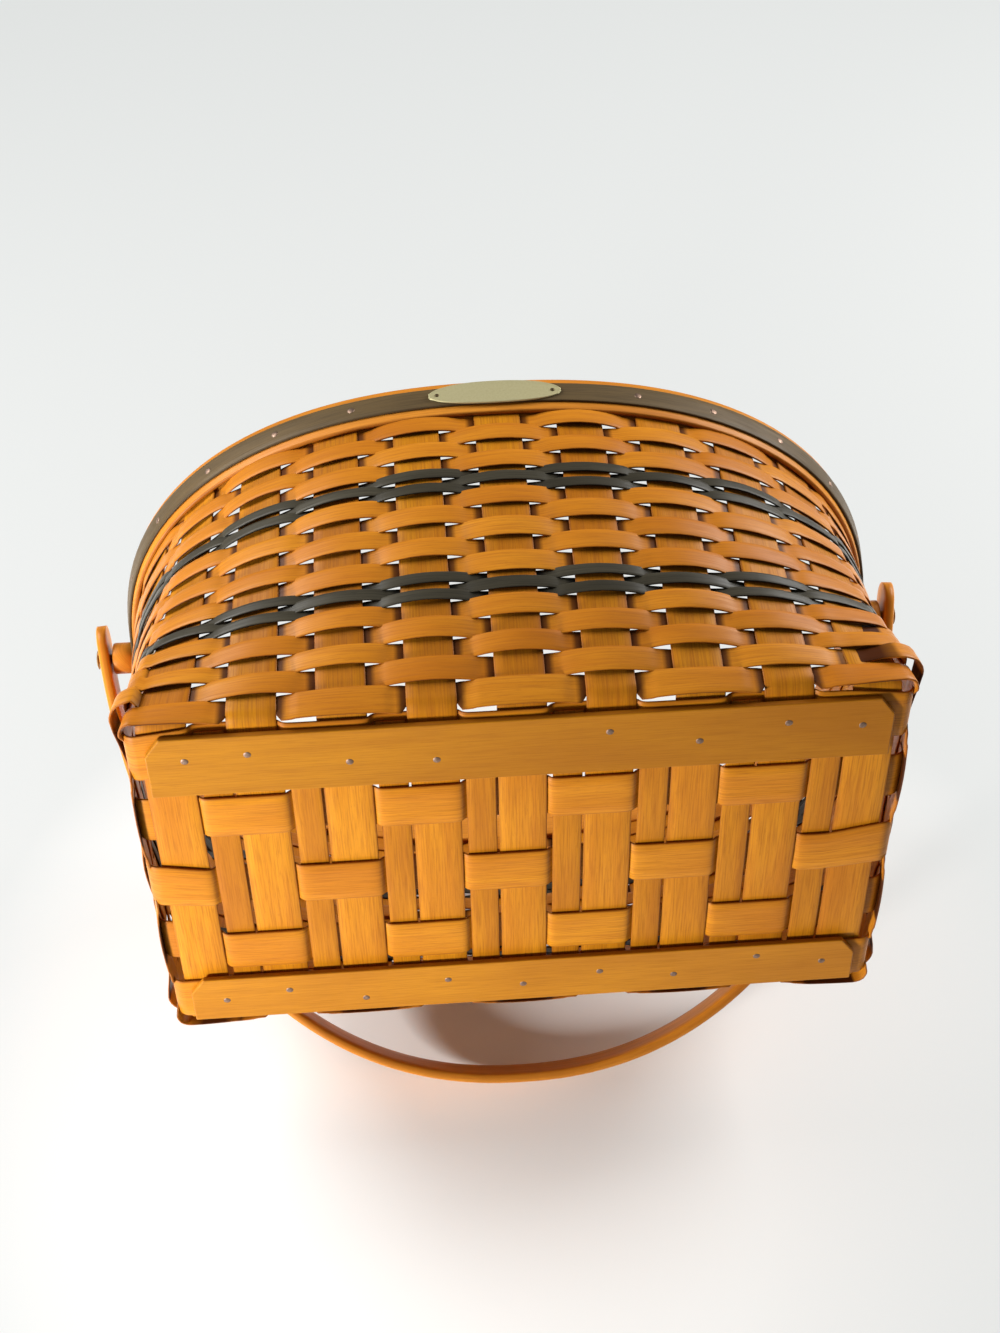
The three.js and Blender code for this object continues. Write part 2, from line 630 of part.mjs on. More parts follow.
// Rivets: a pin with a domed head outside the handle and a flat head inside the rim.
const innerFace = (z) => beside(CROSS_COUNT + (LONG_COUNT - 1) / 2, z, 0, 0, -BAND_FAR)[0];
const HEAD = RIVET_HEAD / 2;
const headInside = innerFace(PIVOT_Z - HEAD) - GAP;
const headOutside = HANDLE_OUT + GAP + HANDLE_PLAY;
const rivetProfile = [
  [0, headInside - RIVET_FLAT],
  [HEAD, headInside - RIVET_FLAT],
  [HEAD, headInside],
  [RIVET_DIAMETER / 2, headInside],
  [RIVET_DIAMETER / 2, headOutside],
  [HEAD, headOutside],
  [0.75 * HEAD, headOutside + 0.7 * RIVET_DOME],
  [0, headOutside + RIVET_DOME],
].map(([r, x]) => new THREE.Vector2(r, x));
for (const side of [-1, 1]) {
  const pin = new THREE.LatheGeometry(rivetProfile, 10);
  pin.rotateZ(-Math.PI / 2);
  pin.translate(0, 0, PIVOT_Z);
  if (side < 0) pin.rotateZ(Math.PI);
  addNode(side < 0 ? "handle_rivet_left" : "handle_rivet_right", geometryOf(solidOf(pin)), RIVET_METAL);
}

export default basket;
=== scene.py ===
import json
import math
import random
from bisect import bisect_right

import bmesh
import bpy
from mathutils import Matrix, Vector
from mathutils.geometry import interpolate_bezier


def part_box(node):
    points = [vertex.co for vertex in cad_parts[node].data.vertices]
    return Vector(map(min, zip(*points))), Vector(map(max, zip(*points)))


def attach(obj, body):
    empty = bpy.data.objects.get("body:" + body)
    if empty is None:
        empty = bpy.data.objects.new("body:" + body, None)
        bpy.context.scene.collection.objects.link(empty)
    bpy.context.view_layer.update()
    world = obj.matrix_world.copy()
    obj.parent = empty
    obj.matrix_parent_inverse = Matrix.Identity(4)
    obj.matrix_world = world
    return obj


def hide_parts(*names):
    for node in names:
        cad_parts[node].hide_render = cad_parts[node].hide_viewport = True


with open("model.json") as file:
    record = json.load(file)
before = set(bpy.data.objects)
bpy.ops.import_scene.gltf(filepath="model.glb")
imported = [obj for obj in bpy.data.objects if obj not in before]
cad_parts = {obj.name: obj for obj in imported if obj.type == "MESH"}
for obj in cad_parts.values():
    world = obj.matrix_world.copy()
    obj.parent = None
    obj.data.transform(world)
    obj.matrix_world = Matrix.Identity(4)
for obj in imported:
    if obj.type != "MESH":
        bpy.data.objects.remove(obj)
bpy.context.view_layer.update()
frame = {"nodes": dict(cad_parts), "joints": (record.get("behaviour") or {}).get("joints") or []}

# Cross splints: nine thin maple strips, stained honey and lacquered. Each crosses the base and is
# bent up, while wet, as an upright of both long sides, so the plan of the wall is set out here.
MM = 0.001
CROSS_COUNT = 9
LONG_COUNT = 5
HALF_ROUND = CROSS_COUNT + LONG_COUNT
UPRIGHTS = 2 * HALF_ROUND
UNIT_PITCH = 40 * MM
LONG_PITCH = 42.5 * MM
CROSS_WIDTH = 22.5 * MM
LONG_WIDTH = 27 * MM
SPLINT_THICK = 1.1 * MM
SPLINT_EDGE = 0.4 * MM
CORNER = 6.5 * MM
SIDE_FLARE = 46.5 * MM
END_FLARE = 15 * MM
WALL_BOW = 0.79
RIM_ROUNDNESS = 2.36
RIM_LEAN = 0.15
BEND = 6 * MM
CROSS_WAVE = 0.45 * MM
GAP = 0.35 * MM
BASE_Z = sum(corner.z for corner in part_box("base_filler_1")) / 2
BAND_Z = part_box("rim_outer_band")[0].z
RIM_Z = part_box("rim_outer_band")[1].z


def cross_x(k):
    return (k - (CROSS_COUNT - 1) / 2) * UNIT_PITCH


def long_y(j):
    return (j - (LONG_COUNT - 1) / 2) * LONG_PITCH


FOOT_X = cross_x(CROSS_COUNT - 1) + CROSS_WIDTH / 2 + CORNER
FOOT_Y = long_y(LONG_COUNT - 1) + LONG_WIDTH / 2 + CORNER
RIM_X = FOOT_X + END_FLARE
RIM_Y = FOOT_Y + SIDE_FLARE


def oval_point(turn):
    s, c = math.sin(turn), math.cos(turn)
    power = 2 / RIM_ROUNDNESS
    x = RIM_X * math.copysign(abs(s) ** power, s)
    y = -RIM_Y * math.copysign(abs(c) ** power, c)
    return Vector((x, y, 0))


OVAL_STEPS = 1440
oval = [oval_point(2 * math.pi * n / OVAL_STEPS) for n in range(OVAL_STEPS + 1)]
oval_length = [0.0]
for near, far in zip(oval, oval[1:]):
    oval_length.append(oval_length[-1] + (far - near).length)


def oval_at(length):
    length %= oval_length[-1]
    n = min(bisect_right(oval_length, length), OVAL_STEPS)
    t = (length - oval_length[n - 1]) / (oval_length[n] - oval_length[n - 1])
    return oval[n - 1].lerp(oval[n], t)


# Each upright keeps its two edges at the foot and at the rim, counter-clockwise from above.
uprights = []
for i in range(UPRIGHTS):
    n = i % HALF_ROUND
    on_side = n < CROSS_COUNT
    width = CROSS_WIDTH if on_side else LONG_WIDTH
    side_foot = Vector((cross_x(n), -FOOT_Y, 0))
    end_foot = Vector((FOOT_X, long_y(n - CROSS_COUNT), 0))
    centre = side_foot if on_side else end_foot
    along = Vector((1, 0, 0)) if on_side else Vector((0, 1, 0))
    turn = 1 if i < HALF_ROUND else -1
    arc = (i - (CROSS_COUNT - 1) / 2) * oval_length[-1] / UPRIGHTS
    foot = [turn * (centre + along * (e * width / 2)) for e in (-1, 1)]
    rim = [oval_at(arc + e * width / 2) for e in (-1, 1)]
    uprights.append((foot, rim))


def upright_at(i, z):
    foot, rim = uprights[i % UPRIGHTS]
    rise = min(1, (z - BASE_Z) / (BAND_Z - BASE_Z))
    t = rise * (1 + WALL_BOW * (1 - rise))
    a, b = (foot[e].lerp(rim[e], t) for e in (0, 1))
    along = (b - a).normalized()
    normal = Vector((along.y, -along.x, 0))
    shift = normal * max(0, z - BAND_Z) * RIM_LEAN + Vector((0, 0, z))
    return a + shift, b + shift, along


def strip_section(width, thick, edge):
    flat, half = width / 2 - edge, thick / 2
    ring = []
    for side in (1, -1):
        ring += [(side * flat * n / 2, side * half) for n in (-2, -1, 0, 1, 2)]
        for turn in (45, 90, 135):
            a = math.radians(turn)
            ring.append((side * (flat + edge * math.sin(a)), side * half * math.cos(a)))
    return ring


GRAIN_RUN = 40
WELD = 0.001 * MM


# A strip is a grid laid along its run and wrapped round its section. The grain map holds the
# distance along and across the strip in metres, from a random start. The edge value is 1 on the
# strip's two long edges, and the shade value marks where painted shade darkens one face of the strip.
def bent_strip(name, centres, across, section, closed=False, widths=None, painted_shades=None):
    stations = len(centres)
    columns = stations if closed else stations - 1
    half = max(a for a, _ in section)
    run = [random.Random(name).uniform(0, GRAIN_RUN)]
    for p, q in zip(centres, centres[1:] + centres[:1]):
        run.append(run[-1] + (q - p).length)
    out = []
    for n in range(stations):
        before = centres[n - 1] if closed or n else centres[n]
        after = centres[(n + 1) % stations] if closed or n + 1 < stations else centres[n]
        out.append((after - before).cross(across[n]).normalized())
    bm = bmesh.new()
    bmesh.ops.create_grid(bm, x_segments=columns, y_segments=len(section), size=0.5)
    grain = bm.loops.layers.uv.new("grain")
    edge = bm.verts.layers.float.new("edge")
    painted_shade = bm.verts.layers.float.new("painted_shade")
    seats = {}
    for v in bm.verts:
        column = round((v.co.x + 0.5) * columns)
        a, o = section[round((v.co.y + 0.5) * len(section)) % len(section)]
        n = column % stations
        seats[v] = (run[column], a)
        v[edge] = abs(a) / half
        v[painted_shade] = max(0, math.copysign(painted_shades[n], painted_shades[n] * o)) if painted_shades else 0
        v.co = centres[n] + across[n] * (a * (widths[n] if widths else 1)) + out[n] * o
    for face in bm.faces:
        face.smooth = True
        for loop in face.loops:
            loop[grain].uv = seats[loop.vert]
    bmesh.ops.remove_doubles(bm, verts=bm.verts, dist=WELD)
    bmesh.ops.holes_fill(bm, edges=[e for e in bm.edges if e.is_boundary])
    bmesh.ops.recalc_face_normals(bm, faces=bm.faces)
    return bm


def add_piece(name, bm, material, slot, body, *nodes):
    mesh = bpy.data.meshes.new(name)
    bm.to_mesh(mesh)
    bm.free()
    mesh.materials.append(material)
    piece = bpy.data.objects.new(name, mesh)
    bpy.context.scene.collection.objects.link(piece)
    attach(piece, body)
    if nodes:
        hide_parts(*nodes)


def linear(code):
    channels = [int(code[n:n + 2], 16) / 255 for n in (1, 3, 5)]
    return [c / 12.92 if c <= 0.04045 else ((c + 0.055) / 1.055) ** 2.4 for c in channels] + [1]


def add_node(tree, kind, inputs, **settings):
    made = tree.nodes.new(kind)
    for key, value in settings.items():
        setattr(made, key, value)
    for key, value in inputs.items():
        if isinstance(value, bpy.types.NodeSocket):
            tree.links.new(value, made.inputs[key])
        else:
            made.inputs[key].default_value = value
    return made


def new_material(name):
    material = bpy.data.materials.new(name)
    material.use_nodes = True
    tree = material.node_tree
    tree.nodes.clear()
    shader = tree.nodes.new("ShaderNodeBsdfPrincipled")
    surface = tree.nodes.new("ShaderNodeOutputMaterial")
    tree.links.new(shader.outputs["BSDF"], surface.inputs["Surface"])
    return material, tree, shader


TUCKED_SHADE = 0.3
EDGE_FROM = 0.9
EDGE_STRENGTH = 0.55
RIDGE_DEPTH = 0.08 * MM
SHEEN = 0.18


# Split maple under a wiped stain and satin lacquer: long soft streaks along the grain, short dark
# flecks, slow drifts of tone from strip to strip, and darker edges where the stain gathers. Over
# that goes painted shade, dark red-brown, on the faces that the shade value marks: beside the
# uprights where a weaver dives behind them, and on the uprights between the rows.
# The real grain is about 0.2 mm wide; it is drawn 0.7 mm wide so that it shows at this distance.
# Each layer has its length, width and colour, the noise where it begins and is full, and its strength.
def stained_maple(name, pale, deep, fleck, edge, roughness, streaks):
    material, tree, shader = new_material(name)
    grain = add_node(tree, "ShaderNodeUVMap", {}, uv_map="grain").outputs["UV"]
    layers = (
        (170 * MM, 60 * MM, deep, 0.3, 0.7, 0.9),
        (90 * MM, 4 * MM, deep, 0.35, 0.75, streaks),
        (5 * MM, 0.8 * MM, fleck, 0.62, 0.8, 0.5 * streaks),
        (22 * MM, 0.7 * MM, fleck, 0.42, 0.78, streaks),
    )
    tone = linear(pale)
    for along, across, colour, low, high, strength in layers:
        scale = (1 / along, 1 / across, 1)
        laid = add_node(tree, "ShaderNodeMapping", {"Vector": grain, "Scale": scale}).outputs["Vector"]
        drawn = {"Vector": laid, "Scale": 1, "Detail": 2, "Roughness": 0.55}
        lines = add_node(tree, "ShaderNodeTexNoise", drawn, noise_dimensions="2D").outputs["Fac"]
        reach = {"Value": lines, "From Min": low, "From Max": high, "To Max": strength}
        weight = add_node(tree, "ShaderNodeMapRange", reach).outputs["Result"]
        laid_on = {0: weight, 6: tone, 7: linear(colour)}
        tone = add_node(tree, "ShaderNodeMix", laid_on, data_type="RGBA").outputs[2]
    edges = add_node(tree, "ShaderNodeAttribute", {}, attribute_name="edge").outputs["Fac"]
    gathered = {"Value": edges, "From Min": EDGE_FROM, "From Max": 1, "To Max": EDGE_STRENGTH}
    weight = add_node(tree, "ShaderNodeMapRange", gathered).outputs["Result"]
    laid_on = {0: weight, 6: tone, 7: linear(edge)}
    tone = add_node(tree, "ShaderNodeMix", laid_on, data_type="RGBA").outputs[2]
    # Painted shade: faces marked by the per-vertex shade value are mixed toward a dark copy of the edge
    # colour.
    painted_shades = add_node(tree, "ShaderNodeAttribute", {}, attribute_name="painted_shade").outputs["Fac"]
    laid_on = {0: painted_shades, 6: tone, 7: [TUCKED_SHADE * c for c in linear(edge)[:3]] + [1]}
    tone = add_node(tree, "ShaderNodeMix", laid_on, data_type="RGBA").outputs[2]
    tree.links.new(tone, shader.inputs["Base Color"])
    satin = {"Value": lines, "From Min": 0.3, "From Max": 0.8}
    satin |= {"To Min": roughness - 0.05, "To Max": roughness + 0.1}
    finish = add_node(tree, "ShaderNodeMapRange", satin).outputs["Result"]
    tree.links.new(finish, shader.inputs["Roughness"])
    ridges = {"Height": lines, "Strength": 0.25, "Distance": RIDGE_DEPTH}
    tree.links.new(add_node(tree, "ShaderNodeBump", ridges).outputs["Normal"], shader.inputs["Normal"])
    shader.inputs["Specular IOR Level"].default_value = SHEEN
    return material


WALL_STEPS = 24
WALL_FOOT = BASE_Z + BEND
WALL_HEIGHTS = [WALL_FOOT + (BAND_Z - WALL_FOOT) * n / WALL_STEPS for n in range(WALL_STEPS + 1)]
WALL_HEIGHTS += [(BAND_Z + RIM_Z) / 2, RIM_Z - GAP]
BEND_STEPS = 7
BEND_PULL = 0.6
# Painted shade on the uprights: how dark it is, and over how many stations above the bend it fades in.
WALL_SHADE = 0.22
SHADE_STEPS = 3


def splint_run(low_wall, high_wall, base, facing):
    climbs = []
    for wall in (low_wall, high_wall):
        climb = []
        for z in WALL_HEIGHTS:
            a, b, along = upright_at(wall, z)
            climb.append(((a + b) / 2, along if along.dot(facing) > 0 else -along))
        climbs.append(climb)
    corners = []
    for climb, end in zip(climbs, (base[0], base[-1])):
        foot = climb[0][0]
        corner = Vector((foot.x, foot.y, end.z))
        pulls = [p.lerp(corner, BEND_PULL) for p in (foot, end)]
        bend = interpolate_bezier(foot, *pulls, end, BEND_STEPS)
        corners.append([(p, facing) for p in bend[1:-1]])
    middle = [(p, facing) for p in base]
    run = climbs[0][::-1] + corners[0] + middle + corners[1][::-1] + climbs[1]
    return [p for p, _ in run], [a for _, a in run]


# Painted shade on the outer faces of the uprights, which lie back between the rows: it darkens them
# from the bend upward and leaves the base alone.
def wall_shade(centres, base):
    turned_up = (len(centres) - len(base)) // 2
    climb = [WALL_SHADE * min(1, n / SHADE_STEPS) for n in range(1, turned_up + 1)]
    return climb[::-1] + [0] * len(base) + climb


def cross_level(k, y):
    return BASE_Z + CROSS_WAVE * math.cos(math.pi * ((y - long_y(0)) / LONG_PITCH + k))


splint_tones = ("#D88E18", "#BC6F10", "#9A5410", "#7A3C0A")
splint_maple = stained_maple("honey_stained_maple_splint", *splint_tones, roughness=0.45, streaks=0.6)
cross_section = strip_section(CROSS_WIDTH, SPLINT_THICK, SPLINT_EDGE)
BASE_STEPS = 40
reach = FOOT_Y - BEND
ys = [reach * (2 * n / BASE_STEPS - 1) for n in range(BASE_STEPS + 1)]
for k in range(CROSS_COUNT):
    base = [Vector((cross_x(k), y, cross_level(k, y))) for y in ys]
    centres, across = splint_run(k, HALF_ROUND + CROSS_COUNT - 1 - k, base, Vector((1, 0, 0)))
    node = f"cross_splint_{k + 1}"
    bm = bent_strip(node, centres, across, cross_section, painted_shades=wall_shade(centres, base))
    add_piece(f"bent_{node}", bm, splint_maple, "splint", "basket", node)

# Base fillers: narrower flat strips laid beside the cross splints to close the base. They are not
# turned up, and their ends lie above the two base strips.
FILLER_WIDTH = 13.8 * MM
FILLER_THICK = 1 * MM
filler_tones = ("#D08614", "#AE660C", "#92500E", "#7A3C0A")
filler_maple = stained_maple("honey_stained_maple_filler", *filler_tones, roughness=0.45, streaks=0.6)
filler_section = strip_section(FILLER_WIDTH, FILLER_THICK, SPLINT_EDGE)
for k in range(1, CROSS_COUNT):
    node = f"base_filler_{k}"
    low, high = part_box(node)
    ys = [low.y + (high.y - low.y) * n / BASE_STEPS for n in range(BASE_STEPS + 1)]
    centres = [Vector(((low.x + high.x) / 2, y, cross_level(k, y))) for y in ys]
    bm = bent_strip(node, centres, [Vector((1, 0, 0))] * len(centres), filler_section)
    add_piece(f"laid_{node}", bm, filler_maple, "filler", "basket", node)

# Long splints: five wider strips woven through the base over and under the cross splints and turned
# up as the uprights of both short ends. On the base they lie unevenly, as they were placed by eye,
# and the outer two are wider there than the middle three.
SLOT = 2 * MM
LONG_STEP = 1.55 * MM
SLOT_STEEPNESS = 14
SLOT_STATIONS_MM = (-13, -7, -3.5, -2, -1.2, -0.6, 0, 0.6, 1.2, 2, 3.5, 7, 13, 20)
BASE_SHIFTS = (-1.5 * MM, -2 * MM, 4 * MM, 8 * MM, 1.5 * MM)
BASE_WIDTHS = (30 * MM, 25 * MM, 25 * MM, 25 * MM, 30 * MM)
BASE_FADE = 25 * MM
END_STATION = 8 * MM


def long_level(j, x):
    place = (x - cross_x(0) - (CROSS_WIDTH + SLOT) / 2) / UNIT_PITCH + 1
    k = min(max(math.floor(place), 0), CROSS_COUNT - 1)
    u = 2 * (place - k) - 1
    at_end = (k == 0 and u < 0) or (k == CROSS_COUNT - 1 and u > 0)
    rise = 1 if at_end else 1 - abs(u) ** SLOT_STEEPNESS
    return BASE_Z + (-1 if (j + k) % 2 == 0 else 1) * LONG_STEP * rise


long_section = strip_section(LONG_WIDTH, SPLINT_THICK, SPLINT_EDGE)
reach = FOOT_X - BEND
xs = [-reach, -reach + END_STATION]
for k in range(CROSS_COUNT - 1):
    slot_x = cross_x(k) + (CROSS_WIDTH + SLOT) / 2
    xs += [slot_x + n * MM for n in SLOT_STATIONS_MM]
xs += [reach - END_STATION, reach]
ease = [min(1, (reach - abs(x)) / BASE_FADE) for x in xs]
for j in range(LONG_COUNT):
    base = [Vector((x, long_y(j) + t * BASE_SHIFTS[j], long_level(j, x))) for x, t in zip(xs, ease)]
    centres, across = splint_run(UPRIGHTS - 1 - j, CROSS_COUNT + j, base, Vector((0, -1, 0)))
    turned_up = [1] * ((len(centres) - len(base)) // 2)
    widths = turned_up + [1 + t * (BASE_WIDTHS[j] / LONG_WIDTH - 1) for t in ease] + turned_up
    node = f"long_splint_{j + 1}"
    bm = bent_strip(node, centres, across, long_section, widths=widths, painted_shades=wall_shade(centres, base))
    add_piece(f"bent_{node}", bm, splint_maple, "splint", "basket", node)

# Weavers: one maple strip for each row, woven round the uprights once, in front of every second one,
# and lapped over its own start inside the far side. Two bands of three rows are narrow and dark. The
# first two rows lie flatter and sag between the uprights, and the lowest rows loop out at the corners.
WEAVER_THICK = 1 * MM
WEAVER_EDGE = 0.38 * MM
ROW_COVER = 1.16
DARK_COVER = 1.36
BULGE_OUT = 2.75 * MM
BULGE_IN = 1.3 * MM
OUT_FULLNESS = 0.9
IN_FULLNESS = 0.5
CORNER_TIGHT = 0.4
# Painted shade beside each upright: how far from its middle the shade is full, and how far it takes to fade
# out.
TUCK_HALF = 0.33
TUCK_FADE = 0.04
FOOT_ROWS = ((-4.4 * MM, -2.4 * MM), (-1.8 * MM, -0.6 * MM))
FOOT_FLATNESS = (0.35, 0.8)
FOOT_TURN = 0.12
FOOT_EARLY = 5.6
LAP_STEP = 1.4 * MM
CORNER_SWELLS = (1 * MM, 6.5 * MM, 3.5 * MM, 2.5 * MM, 2 * MM)
SPLINT_PARTS = 4
GAP_PARTS = 8
CORNER_PULL = 0.4
TIGHT_REACH = 1.3
SWELL_REACH = 0.5
ROW_WOBBLE = 0.25 * MM
WOBBLE_PACE = 0.9
WOBBLE_TURN = 6.28
LIFT_RANGE = (0.85, 1.15)
ROLL_RANGE = (-0.05, 0.05)
LAP_SPREAD = 6
LAP_PARTS = SPLINT_PARTS + 2
CORNER_PHASES = [n + side - 0.5 for n in (0, HALF_ROUND) for side in (CROSS_COUNT, HALF_ROUND)]


def wall_round(z):
    points, phases = [], []
    for i in range(UPRIGHTS):
        a, b, along = upright_at(i, z)
        c, _, next_along = upright_at(i + 1, z)
        gap = (c - b).length
        share = (b - a).length / ((b - a).length + gap)
        for n in range(SPLINT_PARTS):
            points.append(a.lerp(b, n / SPLINT_PARTS))
            phases.append(i + share * (n / SPLINT_PARTS - 0.5))
        pull = gap * CORNER_PULL
        curve = interpolate_bezier(b, b + along * pull, c - next_along * pull, c, GAP_PARTS + 1)
        points += curve[:-1]
        phases += [i + share / 2 + (1 - share) * n / GAP_PARTS for n in range(GAP_PARTS)]
    return points, phases


def outward(points, n):
    tangent = points[(n + 1) % len(points)] - points[n - 1]
    return Vector((tangent.y, -tangent.x, 0)).normalized()


def weaver_run(row, low_z, high_z, drop):
    chance = random.Random(row)
    lift = [chance.uniform(*LIFT_RANGE) for _ in range(UPRIGHTS + 1)]
    roll = [chance.uniform(*ROLL_RANGE) for _ in range(UPRIGHTS + 1)]
    wave = chance.uniform(0, WOBBLE_TURN)
    behind, phases = wall_round(low_z)
    before, _ = wall_round(low_z + drop)
    upper, _ = wall_round(high_z)
    share = [math.cos(math.pi * (phase + row)) / FOOT_TURN + FOOT_EARLY for phase in phases]
    lower = [p.lerp(q, min(1, max(0, t))) for p, q, t in zip(behind, before, share)]
    start = HALF_ROUND + 1 + (row * 2) % LAP_SPREAD + row % 2
    first = start if (start + row) % 2 else start + 1
    around = len(lower)
    begin = first * (SPLINT_PARTS + GAP_PARTS)
    swell = CORNER_SWELLS[row] if row < len(CORNER_SWELLS) else 0
    fullness = FOOT_FLATNESS[row] if row < len(FOOT_FLATNESS) else 1
    centres, across, heights, painted_shades = [], [], [], []
    for step in range(around + LAP_PARTS):
        n = (begin + step) % around
        phase = phases[n]
        swing = math.cos(math.pi * (phase + row))
        near = round(phase) % UPRIGHTS
        corner = min(abs(phase - c) for c in CORNER_PHASES)
        tight = 1 - CORNER_TIGHT * math.exp(-((corner / TIGHT_REACH) ** 2))
        if swing > 0:
            shift = swing ** OUT_FULLNESS * lift[near] * tight * fullness * BULGE_OUT
        else:
            shift = -((-swing) ** IN_FULLNESS) * BULGE_IN
        shift += swell * math.exp(-((corner / SWELL_REACH) ** 2))
        # Painted shade: close to each upright the row's hidden side is darkened. That is its outer face
        # where it dives behind the upright and its inner face where it passes in front.
        closeness = 1 - (abs(phase - round(phase)) - TUCK_HALF) / TUCK_FADE
        painted_shades.append(math.copysign(min(1, max(0, closeness)), -swing))
        if step > around - GAP_PARTS:
            shift -= LAP_STEP * min(1, (step - around + GAP_PARTS) / GAP_PARTS)
        normal = outward(lower, n)
        up = upper[n] - lower[n]
        heights.append(up.length)
        level = ROW_WOBBLE * math.sin(phase * WOBBLE_PACE + wave)
        centres.append((lower[n] + upper[n]) / 2 + normal * shift + up.normalized() * level)
        across.append((up.normalized() + normal * roll[near] * abs(swing)).normalized())
    return centres, across, heights, painted_shades


weaver_tones = ("#CE8520", "#B26714", "#9A5611", "#7A3A0A")
weaver_maple = stained_maple("honey_stained_maple_weaver", *weaver_tones, roughness=0.42, streaks=0.5)
dark_tones = ("#4C473A", "#343026", "#26221A", "#181511")
dark_maple = stained_maple("dark_stained_maple_weaver", *dark_tones, roughness=0.4, streaks=0.6)
rows = [name for name in frame["nodes"] if "weaver_" in name]
rows.sort(key=lambda name: int(name[-2:]))
for row, node in enumerate(rows):
    low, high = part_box(node)
    drop = FOOT_ROWS[row] if row < len(FOOT_ROWS) else (0, 0)
    centres, across, heights, painted_shades = weaver_run(row, low.z, high.z + drop[1], drop[0])
    stock = max(heights)
    dark = node.startswith("dark")
    section = strip_section(stock * (DARK_COVER if dark else ROW_COVER), WEAVER_THICK, WEAVER_EDGE)
    bm = bent_strip(node, centres, across, section, widths=[h / stock for h in heights], painted_shades=painted_shades)
    maple, slot = (dark_maple, "dark_weaver") if dark else (weaver_maple, "weaver")
    add_piece(f"woven_{node}", bm, maple, slot, "basket", node)

# Rim: two bent maple bands clamp the tops of the uprights between them, and a narrower strip stained
# olive grey is tacked round the outer one.
BAND_THICK = 2.5 * MM
TRIM_THICK = 1.4 * MM
TRIM_GAP = 0.1 * MM
BAND_NEAR = SPLINT_THICK / 2 + GAP
BAND_FAR = BAND_NEAR + BAND_THICK
TRIM_NEAR = BAND_FAR + TRIM_GAP
TRIM_FAR = TRIM_NEAR + TRIM_THICK
BAND_EDGE = 0.9 * MM
TRIM_EDGE = 0.5 * MM
HOOP_STEPS = 168


def rim_at(arc, z):
    point = oval_at(arc)
    tangent = oval_at(arc + MM) - oval_at(arc - MM)
    normal = Vector((tangent.y, -tangent.x, 0)).normalized()
    return point + normal * (z - BAND_Z) * RIM_LEAN + Vector((0, 0, z)), normal


def hoop(name, low_z, high_z, near, far, edge):
    centres, across = [], []
    for n in range(HOOP_STEPS):
        arc = oval_length[-1] * n / HOOP_STEPS
        middle, normal = rim_at(arc, (low_z + high_z) / 2)
        centres.append(middle + normal * (near + far) / 2)
        across.append((rim_at(arc, high_z)[0] - rim_at(arc, low_z)[0]).normalized())
    section = strip_section((high_z - low_z) * math.hypot(1, RIM_LEAN), far - near, edge)
    return bent_strip(name, centres, across, section, closed=True)


rim_tones = ("#D98E30", "#BC7220", "#9E5C18", "#854612")
rim_maple = stained_maple("honey_stained_maple_band", *rim_tones, roughness=0.42, streaks=0.5)
trim_tones = ("#6C583A", "#50412A", "#423522", "#34291A")
trim_maple = stained_maple("olive_stained_maple_trim", *trim_tones, roughness=0.5, streaks=0.6)
inner_band = hoop("rim_inner_band", BAND_Z, RIM_Z, -BAND_FAR, -BAND_NEAR, BAND_EDGE)
add_piece("bent_rim_inner_band", inner_band, rim_maple, "rim", "basket", "rim_inner_band")
outer_band = hoop("rim_outer_band", BAND_Z, RIM_Z, BAND_NEAR, BAND_FAR, BAND_EDGE)
add_piece("bent_rim_outer_band", outer_band, rim_maple, "rim", "basket", "rim_outer_band")
trim_low, trim_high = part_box("rim_trim")
trim = hoop("rim_trim", trim_low.z, trim_high.z, TRIM_NEAR, TRIM_FAR, TRIM_EDGE)
add_piece("bent_rim_trim", trim, trim_maple, "trim", "basket", "rim_trim")

